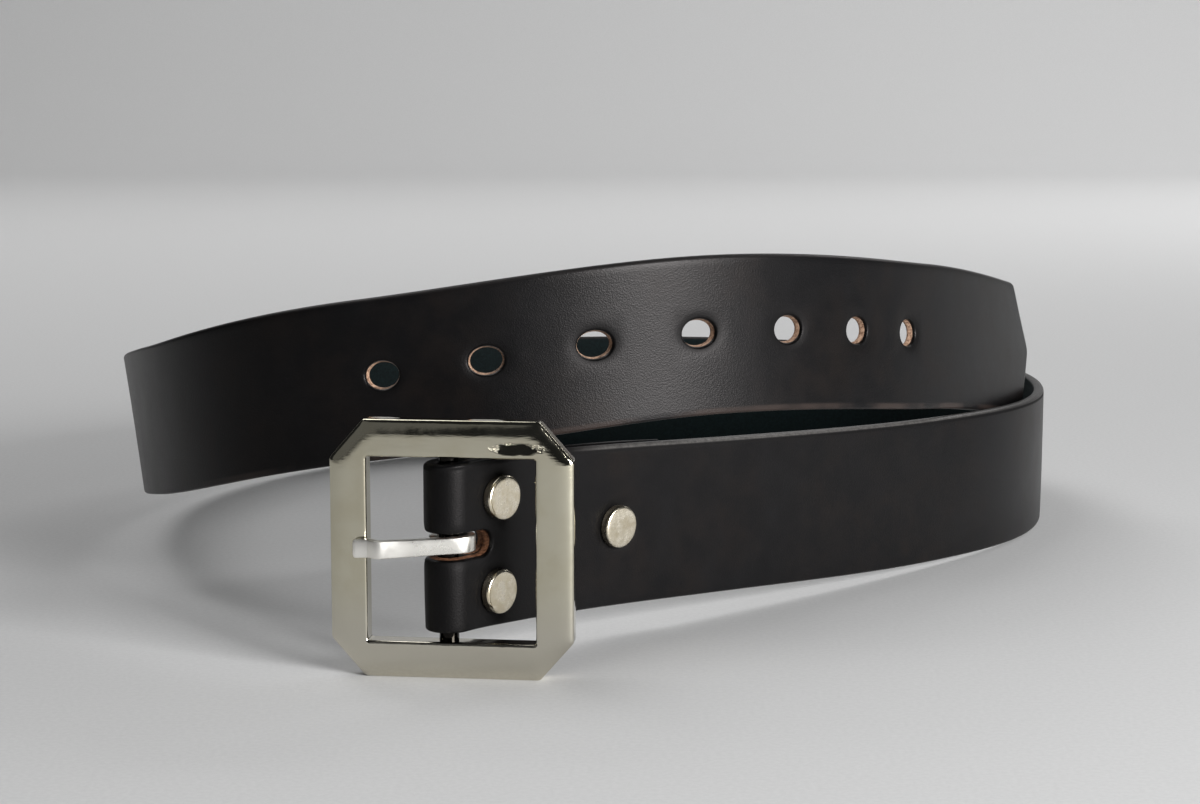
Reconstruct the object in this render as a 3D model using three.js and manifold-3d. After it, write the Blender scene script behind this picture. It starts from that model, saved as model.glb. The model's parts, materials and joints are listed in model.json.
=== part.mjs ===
// A garrison belt, unfastened and lying on its lower edge in a loose coil, with the buckle upright
// at the front. Millimetres, +Z up; the buckle's face looks towards -Y, and the floor is Z = 0.
import * as THREE from 'three';
import { mergeVertices } from 'three/addons/utils/BufferGeometryUtils.js';
import Module from 'manifold-3d';

const wasm = await Module();
wasm.setup();

// The bar is the belt's reference line: the strap folds round it, and frame and prong turn on it.
// Its place is such that the origin is the middle of the belt's foot.
const BAR_PLACE = new THREE.Vector3(-31.9, -157.2, 0);
const BAR_RADIUS = 2.2;

// Strap: a flat band with a small bevel along its four long edges.
const STRAP_WIDTH = 38.1;
const STRAP_THICKNESS = 3;
const EDGE_BEVEL = 0.8;
const FACET_LENGTH = 8;
const TIP_STATION = 1110;
const POINT_LENGTH = 15.3;
const POINT_ROUNDING = 2.2;
const PIECE_GAP = 0.3;

// Fold: the strap turns round the bar, comes back at CLOSING_ANGLE to the front layer until it
// meets it, and ends behind it, shaved thin from SKIVE_START to RETURN_END.
const FOLD_INSIDE = BAR_RADIUS + PIECE_GAP;
const FOLD_OUTSIDE = FOLD_INSIDE + STRAP_THICKNESS;
const FOLD_FACETS = 15;
const CLOSING_ANGLE = 45;
const RETURN_START = 9;
const SKIVE_START = 52;
const RETURN_END = 64;
const SKIVED_THICKNESS = 1;

// The way the strap lies, followed along the lower edge of its outer face from the fold to the
// tip: where it heads seen from above (0 is +X), the edge's height above the floor, and how far
// the strap leans outwards.
const COURSE = [
  { station: 0, heading: 52.9, lift: 10.3, lean: 0 },
  { station: 15, heading: 50.7, lift: 9.7, lean: 0.7 },
  { station: 85, heading: 41.9, lift: 5.9, lean: 2.0 },
  { station: 170, heading: 48.1, lift: 1.8, lean: -1.7 },
  { station: 255, heading: 80.5, lift: 0, lean: 0 },
  { station: 340, heading: 124.9, lift: 0, lean: 0 },
  { station: 425, heading: 166.4, lift: 0, lean: 0 },
  { station: 510, heading: 202.6, lift: 0, lean: 0 },
  { station: 595, heading: 236.8, lift: 5.2, lean: 5.0 },
  { station: 680, heading: 269.6, lift: 11.5, lean: 9.1 },
  { station: 765, heading: 292.4, lift: 23.3, lean: 3.5 },
  { station: 850, heading: 345.7, lift: 40.8, lean: -2.6 },
  { station: 935, heading: 389.2, lift: 50.1, lean: -2.6 },
  { station: 1020, heading: 418.0, lift: 42.9, lean: -4.8 },
  { station: 1110, heading: 427.4, lift: 29.7, lean: -7.7 },
];
const WALK_STEP = 1;

// What is cut through the strap.
const SLOT_HEIGHT = 6;
const SLOT_END = 7.6;
const HOLE_COUNT = 7;
const HOLE_FIRST = 855;
const HOLE_PITCH = 25.4;
const HOLE_LENGTH = 8.8;
const HOLE_HEIGHT = 7;
const HOLE_RISE = 0.7;
const RIVET_HOLE_RADIUS = 2.1;
const CUT_CLEAR = 0.4;
const TIP_MARGIN = 3;

// Buckle frame: an upright plate with cut corners and softened edges. Its bar lies left of the
// middle by BAR_OFFSET, and behind the plate's middle by BAR_SETBACK.
const FRAME_YAW = -7;
const FRAME_WIDTH = 53.8;
const FRAME_HEIGHT = 57.3;
const FRAME_THICKNESS = 5.2;
const CORNER_WIDTH = 7.5;
const CORNER_HEIGHT = 8.6;
const WINDOW_WIDTH = 37.3;
const WINDOW_HEIGHT = 40.9;
const WINDOW_ROUNDING = 1.2;
const FRAME_EDGE = 1;
const BAR_OFFSET = -1.25;
const BAR_SETBACK = 2;
const BAR_SIDES = 20;

// Prong: a flat strip with an eye round the bar. It leaves the eye at PRONG_LEAN, comes forward
// as far as its bend, and drops there to a flat seat on the left post. It sits a little high in
// the slot and droops by PRONG_DROOP towards its tip.
const PRONG_HEIGHT = 3.8;
const PRONG_THICKNESS = 1.8;
const PRONG_LEAN = 15.5;
const PRONG_BEND = 14.4;
const PRONG_SEAT = 16.8;
const PRONG_REACH = 20.7;
const PRONG_FORWARD = 8.95;
const PRONG_NOSE = 1;
const PRONG_NOSE_DROP = 0.6;
const PRONG_DROOP = 1.8;
const PRONG_RISE = 0.3;
const EYE_CLEAR = 0.35;
const EYE_INSIDE = BAR_RADIUS + EYE_CLEAR;
const EYE_OUTSIDE = EYE_INSIDE + PRONG_THICKNESS;
const EYE_STRETCH = 1.6;
const EYE_END_ANGLE = 210;

// Where the strip's back face bends, measured from the bends of its front face, so that it keeps
// its thickness all the way.
const BEND_MITRE = { across: 0.47, back: 2 };
const SEAT_MITRE = { across: 0.69 };

// Cap rivets: the pair by the bar, one above and one below the slot, and a third further back.
const RIVETS = [
  { name: 'rivet_upper', station: 9.4, rise: 9.9 },
  { name: 'rivet_lower', station: 9.4, rise: -11.1 },
  { name: 'rivet_rear', station: 48.5, rise: 0 },
];
const CAP_RADIUS = 5;
const CAP_EDGE = 0.7;
const CAP_HEIGHT = 1.6;
const CAP_CROWN_RADIUS = 2.8;
const CAP_CROWN_DROP = 0.1;
const CAP_RIM_RADIUS = 4.6;
const POST_RADIUS = 1.8;
const BURR_RADIUS = 2.7;
const BURR_HEIGHT = 0.9;
const BURR_FACE_RADIUS = 2.2;
const BURR_FACE_HEIGHT = 0.6;
const RIVET_SIDES = 24;

const radians = THREE.MathUtils.degToRad;

// Monotone cubic through one column of COURSE. It never overshoots between two equal rows, and
// lift and lean leave the fold level and upright.
function courseValue(column, station) {
  const last = COURSE.length - 1;
  const chord = (row) => {
    const rise = COURSE[row + 1][column] - COURSE[row][column];
    return rise / (COURSE[row + 1].station - COURSE[row].station);
  };
  const slope = (row) => {
    if (row === 0) return column === 'heading' ? chord(0) : 0;
    if (row === last) return chord(last - 1);
    const before = chord(row - 1);
    const after = chord(row);
    return before * after > 0 ? 2 * before * after / (before + after) : 0;
  };
  let row = 0;
  while (row < last - 1 && station > COURSE[row + 1].station) row += 1;
  const length = COURSE[row + 1].station - COURSE[row].station;
  const t = Math.min((station - COURSE[row].station) / length, 1);
  const start = (1 + 2 * t) * (1 - t) ** 2 * COURSE[row][column];
  const end = (3 - 2 * t) * t ** 2 * COURSE[row + 1][column];
  return start + end + length * t * (1 - t) * ((1 - t) * slope(row) - t * slope(row + 1));
}

// The strap's directions at a station: along it, across it from lower to upper edge, and out of
// its outer face.
function directionsAt(station) {
  const heading = radians(courseValue('heading', station));
  const lean = radians(courseValue('lean', station));
  const climb = (courseValue('lift', station + WALK_STEP / 2)
    - courseValue('lift', Math.max(station - WALK_STEP / 2, 0))) / WALK_STEP;
  const level = Math.sqrt(1 - climb * climb);
  const along = new THREE.Vector3(Math.cos(heading) * level, Math.sin(heading) * level, climb);
  const outLevel = new THREE.Vector3(Math.sin(heading), -Math.cos(heading), 0);
  const up = new THREE.Vector3().crossVectors(outLevel, along);
  const across = up.clone().multiplyScalar(Math.cos(lean)).addScaledVector(outLevel, Math.sin(lean));
  const out = outLevel.clone().multiplyScalar(Math.cos(lean)).addScaledVector(up, -Math.sin(lean));
  return { along, across, out };
}

// Walk the course once in small steps, adding up where it leads from the fold's edge.
function walkCourse() {
  const start = directionsAt(0).out.multiplyScalar(FOLD_OUTSIDE).add(BAR_PLACE);
  const places = [start];
  for (let station = WALK_STEP; station <= TIP_STATION + FACET_LENGTH; station += WALK_STEP) {
    const step = directionsAt(station - WALK_STEP / 2).along.multiplyScalar(WALK_STEP);
    places.push(places[places.length - 1].clone().add(step));
  }
  return places;
}
const WALK = walkCourse();

// The lower edge of the outer face at a station, with the strap's directions there.
function strapAt(station) {
  const index = Math.floor(station / WALK_STEP);
  const foot = WALK[index].clone().lerp(WALK[index + 1], station / WALK_STEP - index);
  foot.z = courseValue('lift', station);
  return { foot, ...directionsAt(station) };
}

// One cross-section of the strap: the lower edge on its grain face and on its flesh face.
function section(grain, flesh, across) {
  return { grain, flesh, across };
}

function frontSection(station) {
  const { foot, across, out } = strapAt(station);
  return section(foot, foot.clone().addScaledVector(out, -STRAP_THICKNESS), across);
}

function returnThickness(station) {
  const shaved = THREE.MathUtils.clamp((station - SKIVE_START) / (RETURN_END - SKIVE_START), 0, 1);
  return THREE.MathUtils.lerp(STRAP_THICKNESS, SKIVED_THICKNESS, shaved);
}

function returnSection(station) {
  const { foot, across, out } = strapAt(station);
  const flesh = foot.clone().addScaledVector(out, -STRAP_THICKNESS - PIECE_GAP);
  const grain = flesh.clone().addScaledVector(out, -returnThickness(station));
  return section(grain, flesh, across);
}

// The fold seen from above: distances along the front layer and out from it, from the bar.
function foldPoint(alongBar, outFromBar) {
  const { along, out } = directionsAt(0);
  const point = BAR_PLACE.clone().addScaledVector(along, alongBar).addScaledVector(out, outFromBar);
  point.z = COURSE[0].lift;
  return point;
}

function foldSections() {
  const upright = new THREE.Vector3(0, 0, 1);
  const turn = 180 + CLOSING_ANGLE;
  const meetingOut = FOLD_INSIDE - PIECE_GAP;
  const slant = Math.tan(radians(CLOSING_ANGLE));
  const leavingAlong = -Math.sin(radians(turn)) * FOLD_INSIDE;
  const leavingOut = Math.cos(radians(turn)) * FOLD_INSIDE;
  const meetingAlong = leavingAlong + (meetingOut - leavingOut) / slant;
  const mitre = STRAP_THICKNESS * Math.tan(radians(CLOSING_ANGLE / 2));
  const sections = [section(foldPoint(meetingAlong + mitre, meetingOut - STRAP_THICKNESS),
    foldPoint(meetingAlong, meetingOut), upright)];
  for (let facet = FOLD_FACETS; facet > 0; facet -= 1) {
    const angle = radians(turn * facet / FOLD_FACETS);
    const outer = foldPoint(-Math.sin(angle) * FOLD_OUTSIDE, Math.cos(angle) * FOLD_OUTSIDE);
    const inner = foldPoint(-Math.sin(angle) * FOLD_INSIDE, Math.cos(angle) * FOLD_INSIDE);
    sections.push(section(outer, inner, upright));
  }
  return sections;
}

// Evenly spaced stations from one to another, no further apart than a facet.
function stations(from, to) {
  const count = Math.ceil(Math.abs(to - from) / FACET_LENGTH);
  return Array.from({ length: count + 1 }, (_, i) => from + (to - from) * i / count);
}

// A straight band with one step for each section, bent so that every step lies in its section.
// Across the band's profile, x runs from grain (0) to flesh (1) and y up the strap's width.
function bendBand(sections) {
  const depthBevel = EDGE_BEVEL / STRAP_THICKNESS;
  const profile = new THREE.Shape();
  profile.moveTo(depthBevel, 0);
  profile.lineTo(1 - depthBevel, 0);
  profile.lineTo(1, EDGE_BEVEL);
  profile.lineTo(1, STRAP_WIDTH - EDGE_BEVEL);
  profile.lineTo(1 - depthBevel, STRAP_WIDTH);
  profile.lineTo(depthBevel, STRAP_WIDTH);
  profile.lineTo(0, STRAP_WIDTH - EDGE_BEVEL);
  profile.lineTo(0, EDGE_BEVEL);
  profile.closePath();
  const steps = sections.length - 1;
  const band = new THREE.ExtrudeGeometry(profile, { depth: steps, steps, bevelEnabled: false });
  const position = band.attributes.position;
  for (let i = 0; i < position.count; i += 1) {
    const { grain, flesh, across } = sections[Math.round(position.getZ(i))];
    const point = grain.clone().lerp(flesh, position.getX(i));
    point.addScaledVector(across, position.getY(i));
    position.setXYZ(i, point.x, point.y, point.z);
  }
  return band;
}

function toSolid(geometry) {
  const bare = geometry.clone();
  bare.deleteAttribute('normal');
  bare.deleteAttribute('uv');
  const merged = mergeVertices(bare);
  return new wasm.Manifold(new wasm.Mesh({
    numProp: 3,
    vertProperties: new Float32Array(merged.attributes.position.array),
    triVerts: new Uint32Array(merged.index.array),
  }));
}

function toGeometry(solid) {
  const { vertProperties, triVerts } = solid.getMesh();
  const geometry = new THREE.BufferGeometry();
  geometry.setAttribute('position', new THREE.BufferAttribute(vertProperties, 3));
  geometry.setIndex(new THREE.BufferAttribute(triVerts, 1));
  geometry.computeVertexNormals();
  return geometry;
}

// A punch for the strap: an outline on its outer face, drawn from a station and the lower edge,
// run to a depth along the face's normal.
function punch(outline, station, depth) {
  const { foot, along, across, out } = strapAt(station);
  const tool = new THREE.ExtrudeGeometry(outline, {
    depth: depth + 2 * CUT_CLEAR, bevelEnabled: false, curveSegments: 8,
  });
  tool.translate(0, 0, -depth - CUT_CLEAR);
  tool.applyMatrix4(new THREE.Matrix4().makeBasis(along, across, out).setPosition(foot));
  return toSolid(tool);
}

function holeOutline() {
  const middle = STRAP_WIDTH / 2 + HOLE_RISE;
  const radius = HOLE_HEIGHT / 2;
  const half = HOLE_LENGTH / 2 - radius;
  const outline = new THREE.Shape();
  outline.absarc(half, middle, radius, -Math.PI / 2, Math.PI / 2);
  outline.absarc(-half, middle, radius, Math.PI / 2, Math.PI * 1.5);
  return outline;
}

function slotOutline() {
  const middle = STRAP_WIDTH / 2;
  const radius = SLOT_HEIGHT / 2;
  const outline = new THREE.Shape();
  outline.moveTo(-2 * FOLD_OUTSIDE, middle + radius);
  outline.lineTo(-2 * FOLD_OUTSIDE, middle - radius);
  outline.absarc(SLOT_END - radius, middle, radius, -Math.PI / 2, Math.PI / 2);
  return outline;
}

function rivetHoleOutline(rise) {
  return new THREE.Shape().absarc(0, STRAP_WIDTH / 2 + rise, RIVET_HOLE_RADIUS, 0, 2 * Math.PI);
}

// What is cut away round the pointed end: all beyond two straight sides that meet at the apex,
// with the corners a little rounded. It is drawn from the middle of the point's length.
function tipOutline() {
  const apex = POINT_LENGTH / 2;
  const middle = STRAP_WIDTH / 2;
  const side = Math.hypot(POINT_LENGTH, middle);
  const run = POINT_ROUNDING * POINT_LENGTH / side;
  const rise = POINT_ROUNDING * middle / side;
  const outline = new THREE.Shape();
  outline.moveTo(-apex - POINT_ROUNDING, -TIP_MARGIN);
  outline.lineTo(-apex - POINT_ROUNDING, 0);
  outline.quadraticCurveTo(-apex, 0, -apex + run, rise);
  outline.lineTo(apex - run, middle - rise);
  outline.quadraticCurveTo(apex, middle, apex - run, middle + rise);
  outline.lineTo(-apex + run, STRAP_WIDTH - rise);
  outline.quadraticCurveTo(-apex, STRAP_WIDTH, -apex - POINT_ROUNDING, STRAP_WIDTH);
  outline.lineTo(-apex - POINT_ROUNDING, STRAP_WIDTH + TIP_MARGIN);
  outline.lineTo(apex + TIP_MARGIN, STRAP_WIDTH + TIP_MARGIN);
  outline.lineTo(apex + TIP_MARGIN, -TIP_MARGIN);
  return outline;
}

function strapGeometry() {
  const sections = [
    ...stations(RETURN_END, RETURN_START).map(returnSection),
    ...foldSections(),
    ...stations(0, TIP_STATION).map(frontSection),
  ];
  let strap = toSolid(bendBand(sections));
  strap = strap.subtract(punch(tipOutline(), TIP_STATION - POINT_LENGTH / 2, STRAP_THICKNESS));
  strap = strap.subtract(punch(slotOutline(), 0, 2 * FOLD_OUTSIDE));
  for (let hole = 0; hole < HOLE_COUNT; hole += 1) {
    const station = HOLE_FIRST + hole * HOLE_PITCH;
    strap = strap.subtract(punch(holeOutline(), station, STRAP_THICKNESS));
  }
  for (const { station, rise } of RIVETS) {
    strap = strap.subtract(punch(rivetHoleOutline(rise), station, 2 * STRAP_THICKNESS + PIECE_GAP));
  }
  return toGeometry(strap);
}

// The buckle's own axes: the bar is the origin, x runs along the frame's width, and the frame
// stands on z = 0 with its face towards -y.
function frameGeometry() {
  const left = -BAR_OFFSET - FRAME_WIDTH / 2;
  const right = -BAR_OFFSET + FRAME_WIDTH / 2;
  const outline = new THREE.Shape();
  outline.moveTo(left + CORNER_WIDTH, 0);
  outline.lineTo(right - CORNER_WIDTH, 0);
  outline.lineTo(right, CORNER_HEIGHT);
  outline.lineTo(right, FRAME_HEIGHT - CORNER_HEIGHT);
  outline.lineTo(right - CORNER_WIDTH, FRAME_HEIGHT);
  outline.lineTo(left + CORNER_WIDTH, FRAME_HEIGHT);
  outline.lineTo(left, FRAME_HEIGHT - CORNER_HEIGHT);
  outline.lineTo(left, CORNER_HEIGHT);
  outline.closePath();

  const x = WINDOW_WIDTH / 2;
  const low = (FRAME_HEIGHT - WINDOW_HEIGHT) / 2;
  const high = FRAME_HEIGHT - low;
  const r = WINDOW_ROUNDING;
  const window = new THREE.Path();
  window.moveTo(-x - BAR_OFFSET, low + r);
  window.absarc(-x - BAR_OFFSET + r, high - r, r, Math.PI, Math.PI / 2, true);
  window.absarc(x - BAR_OFFSET - r, high - r, r, Math.PI / 2, 0, true);
  window.absarc(x - BAR_OFFSET - r, low + r, r, 0, -Math.PI / 2, true);
  window.absarc(-x - BAR_OFFSET + r, low + r, r, -Math.PI / 2, -Math.PI, true);
  outline.holes.push(window);

  const plate = new THREE.ExtrudeGeometry(outline, {
    depth: FRAME_THICKNESS - 2 * FRAME_EDGE, curveSegments: 4,
    bevelThickness: FRAME_EDGE, bevelSize: FRAME_EDGE, bevelOffset: -FRAME_EDGE, bevelSegments: 3,
  });
  plate.translate(0, 0, FRAME_EDGE - FRAME_THICKNESS / 2 + BAR_SETBACK);
  plate.rotateX(Math.PI / 2);

  const bar = new THREE.CylinderGeometry(BAR_RADIUS, BAR_RADIUS, FRAME_HEIGHT - low, BAR_SIDES);
  bar.rotateX(Math.PI / 2);
  bar.translate(0, 0, FRAME_HEIGHT / 2);
  return toGeometry(toSolid(plate).add(toSolid(bar)));
}

function prongGeometry() {
  const endAngle = radians(EYE_END_ANGLE);
  const leaving = radians(PRONG_LEAN) - Math.PI / 2;
  const seatBack = BAR_SETBACK + FRAME_THICKNESS / 2 + PIECE_GAP;
  const seatFront = seatBack + PRONG_THICKNESS;
  const outline = new THREE.Shape();
  outline.moveTo(-PRONG_BEND + BEND_MITRE.across, -PRONG_FORWARD + BEND_MITRE.back);
  outline.lineTo(-PRONG_SEAT + SEAT_MITRE.across, -seatBack);
  outline.lineTo(-PRONG_REACH, -seatBack);
  outline.lineTo(-PRONG_REACH, -seatFront + PRONG_NOSE_DROP);
  outline.lineTo(-PRONG_REACH + PRONG_NOSE, -seatFront);
  outline.lineTo(-PRONG_SEAT, -seatFront);
  outline.lineTo(-PRONG_BEND, -PRONG_FORWARD);
  outline.absarc(EYE_STRETCH, 0, EYE_OUTSIDE, leaving, Math.PI / 2);
  outline.absarc(0, 0, EYE_OUTSIDE, Math.PI / 2, endAngle);
  outline.absarc(0, 0, EYE_INSIDE, endAngle, Math.PI / 2, true);
  outline.absarc(EYE_STRETCH, 0, EYE_INSIDE, Math.PI / 2, leaving, true);
  const strip = new THREE.ExtrudeGeometry(outline, {
    depth: PRONG_HEIGHT, bevelEnabled: false, curveSegments: 10,
  });
  strip.translate(0, 0, -PRONG_HEIGHT / 2);
  strip.rotateY(radians(-PRONG_DROOP));
  strip.translate(0, 0, COURSE[0].lift + STRAP_WIDTH / 2 + PRONG_RISE);
  return toGeometry(toSolid(strip));
}

// A rivet along its own y axis: y = 0 is the strap's outer face, and depth the leather it grips.
function rivetGeometry(depth) {
  const under = PIECE_GAP;
  const back = -depth - PIECE_GAP;
  const profile = [
    [0, under + CAP_HEIGHT],
    [CAP_CROWN_RADIUS, under + CAP_HEIGHT - CAP_CROWN_DROP],
    [CAP_RIM_RADIUS, under + CAP_EDGE],
    [CAP_RADIUS, under],
    [POST_RADIUS, under],
    [POST_RADIUS, back],
    [BURR_RADIUS, back],
    [BURR_FACE_RADIUS, back - BURR_FACE_HEIGHT],
    [0, back - BURR_HEIGHT],
  ];
  const points = profile.reverse().map(([radius, height]) => new THREE.Vector2(radius, height));
  return toGeometry(toSolid(new THREE.LatheGeometry(points, RIVET_SIDES)));
}

const leather = new THREE.MeshStandardMaterial({ color: 0x15171a, roughness: 0.5, metalness: 0 });
const nickel = new THREE.MeshStandardMaterial({ color: 0xc9c6bf, roughness: 0.18, metalness: 1 });

function piece(name, geometry, material) {
  const mesh = new THREE.Mesh(geometry, material);
  mesh.name = name;
  return mesh;
}

function rivet({ name, station, rise }) {
  const { foot, along, across, out } = strapAt(station);
  const depth = STRAP_THICKNESS + PIECE_GAP + returnThickness(station);
  const mesh = piece(name, rivetGeometry(depth), nickel);
  const place = foot.addScaledVector(across, STRAP_WIDTH / 2 + rise);
  const turned = new THREE.Matrix4().makeBasis(across, out, along).setPosition(place);
  mesh.applyMatrix4(turned);
  return mesh;
}

const buckle = new THREE.Group();
buckle.position.copy(BAR_PLACE);
buckle.rotation.z = radians(FRAME_YAW);
buckle.add(piece('buckle_frame', frameGeometry(), nickel), piece('prong', prongGeometry(), nickel));

const belt = new THREE.Group();
belt.add(piece('strap', strapGeometry(), leather), ...RIVETS.map(rivet), buckle);
belt.updateMatrixWorld(true);

export default belt;
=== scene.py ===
"""A garrison belt lying unfastened in a loose coil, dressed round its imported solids."""
import json
import math

import bpy
import numpy as np
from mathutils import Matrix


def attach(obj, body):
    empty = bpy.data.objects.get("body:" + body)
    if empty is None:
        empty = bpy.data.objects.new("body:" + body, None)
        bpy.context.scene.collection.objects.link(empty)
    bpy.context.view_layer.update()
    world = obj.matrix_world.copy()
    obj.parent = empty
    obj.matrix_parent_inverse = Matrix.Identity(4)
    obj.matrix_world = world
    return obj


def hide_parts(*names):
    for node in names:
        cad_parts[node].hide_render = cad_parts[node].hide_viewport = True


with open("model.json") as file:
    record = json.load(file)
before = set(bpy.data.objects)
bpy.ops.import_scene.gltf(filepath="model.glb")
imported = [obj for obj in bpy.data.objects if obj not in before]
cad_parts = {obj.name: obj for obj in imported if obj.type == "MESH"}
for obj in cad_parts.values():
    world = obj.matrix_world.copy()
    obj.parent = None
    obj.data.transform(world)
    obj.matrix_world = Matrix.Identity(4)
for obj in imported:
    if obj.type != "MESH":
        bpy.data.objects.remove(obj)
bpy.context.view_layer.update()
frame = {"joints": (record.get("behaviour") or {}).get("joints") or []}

# ---- Strap -------------------------------------------------------------------------------------
# One strip of thick black bridle leather, cut 38.1 mm wide, dyed through its grain face, with its
# edges rounded and burnished. It is folded round the buckle's bar, shaved thin at the turned-back
# end, punched with a slot for the prong and seven oblong holes, and cut to a blunt point.
WIDTH = 38.1
THICKNESS = 3.0
EDGE_ROUND = 1.1
LOWER_ROUND = 0.6
STRAP_END = 1110.0
POINT_LENGTH = 15.3
SHEAR_LENGTH = 52.0
LAYER_GAP = 0.3

# Seen from above, the strap starts at the bar; heading is in degrees from +X, lift is the height
# of its lower edge in mm, and lean is how far it tips outwards, in degrees.
COURSE = np.array([
    # station, heading, lift, lean
    (0, 52.9, 10.3, 0.0), (15, 50.7, 9.7, 0.7), (85, 41.9, 5.9, 2.0), (170, 48.1, 1.8, -1.7),
    (255, 80.5, 0.0, 0.0), (340, 124.9, 0.0, 0.0), (425, 166.4, 0.0, 0.0), (510, 202.6, 0.0, 0.0),
    (595, 236.8, 5.2, 5.0), (680, 269.6, 11.5, 9.1), (765, 292.4, 23.3, 3.5),
    (850, 345.7, 40.8, -2.6), (935, 389.2, 50.1, -2.6), (1020, 418.0, 42.9, -4.8),
    (1110, 427.4, 29.7, -7.7),
])
BAR = np.array([frame["joints"][0]["pos_m"][0], frame["joints"][0]["pos_m"][1], 0.0]) * 1000


def course_column(column, station, level_start):
    """Monotone cubic Hermite curve through one column of COURSE: a row's slope is the harmonic
    mean of the slopes on its two sides where they agree in sign, and zero where they don't."""
    x, y = COURSE[:, 0], COURSE[:, column]
    gap, chord = np.diff(x), np.diff(y) / np.diff(x)
    product, total = chord[:-1] * chord[1:], chord[:-1] + chord[1:]
    inner = np.where(product > 0, 2 * product / np.where(product > 0, total, 1), 0)
    slope = np.concatenate([[0 if level_start else chord[0]], inner, [chord[-1]]])
    row = np.clip(np.searchsorted(x, station, side="right") - 1, 0, len(gap) - 1)
    t = np.clip((station - x[row]) / gap[row], 0, 1)
    return ((1 + 2 * t) * (1 - t) ** 2 * y[row] + (3 - 2 * t) * t ** 2 * y[row + 1]
            + gap[row] * t * (1 - t) * ((1 - t) * slope[row] - t * slope[row + 1]))


def strap_axes(station):
    """Unit vectors along the strap, across it from lower to upper edge, and out of its grain
    face: the heading turned about Z, climbing with the lift, then tipped by the lean."""
    heading = np.radians(course_column(1, station, False))
    lean = np.radians(course_column(3, station, True))[..., None]
    climb = (course_column(2, station + 0.5, True)
             - course_column(2, np.maximum(station - 0.5, 0), True))
    level = np.sqrt(1 - climb ** 2)
    along = np.stack([np.cos(heading) * level, np.sin(heading) * level, climb], -1)
    out_level = np.stack([np.sin(heading), -np.cos(heading), 0 * heading], -1)
    up = np.cross(out_level, along)
    across = up * np.cos(lean) + out_level * np.sin(lean)
    out = out_level * np.cos(lean) - up * np.sin(lean)
    return along, across, out


FOLD_INSIDE = 2.5
FOLD_OUTSIDE = FOLD_INSIDE + THICKNESS
WALK = np.arange(0, STRAP_END + 9)
walk_steps = strap_axes(WALK[:-1] + 0.5)[0]
WALK_PLACES = np.vstack([[0, 0, 0], np.cumsum(walk_steps, 0)])
WALK_PLACES += BAR + FOLD_OUTSIDE * strap_axes(np.zeros(1))[2]


def lay(station, height, depth):
    """Where a point of the belt lies: walk to its station along the lower edge of the grain face,
    go up by height across the strap, and inwards by depth. Before station 0 it runs straight."""
    ahead = np.clip(station, 0, STRAP_END + 8)
    along, across, out = strap_axes(ahead)
    foot = np.stack([np.interp(ahead, WALK, WALK_PLACES[:, axis]) for axis in range(3)], -1)
    foot[..., 2] = course_column(2, ahead, True)
    return (foot + along * (station - ahead)[..., None] + across * height[..., None]
            - out * depth[..., None])


# The way through the fold, as lengths along the middle of the leather, counted back from the bar:
# round the bar, straight until the layers meet, then back to run behind the front layer.
FOLD_TURN = math.radians(225)
FOLD_MIDDLE = FOLD_INSIDE + THICKNESS / 2
BEND_MIDDLE = 3.0
RETURN_MIDDLE = FOLD_INSIDE - LAYER_GAP - THICKNESS / 2
ARC_LENGTH = FOLD_MIDDLE * FOLD_TURN
STRAIGHT_LENGTH = (RETURN_MIDDLE + FOLD_MIDDLE * math.sin(math.pi / 4)
                   - BEND_MIDDLE * (1 - math.cos(math.pi / 4))) / math.sin(math.pi / 4)
BEND_LENGTH = BEND_MIDDLE * math.pi / 4
RETURN_FROM = (FOLD_MIDDLE + STRAIGHT_LENGTH + BEND_MIDDLE) * math.sin(math.pi / 4)
RETURN_END = 64.0
SKIVE_START = 52.0
SKIVED = 1.0
STRAP_START = -(ARC_LENGTH + STRAIGHT_LENGTH + BEND_LENGTH + RETURN_END - RETURN_FROM)


def strap_middle(path):
    """The leather's middle at a length along it: the station and depth that it lies at, the angle
    that its inward side has turned by, and its thickness."""
    back = -path
    turn = np.clip(back / FOLD_MIDDLE, 0, FOLD_TURN)
    straight = np.clip(back - ARC_LENGTH, 0, STRAIGHT_LENGTH)
    bend = np.clip((back - ARC_LENGTH - STRAIGHT_LENGTH) / BEND_MIDDLE, 0, math.pi / 4)
    rest = np.clip(back - ARC_LENGTH - STRAIGHT_LENGTH - BEND_LENGTH, 0, None)
    slant = math.sin(math.pi / 4)
    station = (np.maximum(path, 0) - FOLD_MIDDLE * np.sin(turn) + straight * slant
               + BEND_MIDDLE * (slant - np.sin(math.pi / 4 - bend)) + rest)
    out = (FOLD_MIDDLE * np.cos(turn) + straight * slant
           + BEND_MIDDLE * (np.cos(math.pi / 4 - bend) - slant))
    shaved = np.clip((station - SKIVE_START) / (RETURN_END - SKIVE_START), 0, 1)
    thickness = THICKNESS + (SKIVED - THICKNESS) * shaved * (path < 0)
    depth = FOLD_OUTSIDE - out - (THICKNESS - thickness) / 2 * (path < 0)
    return station, depth, turn - bend, thickness


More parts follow.
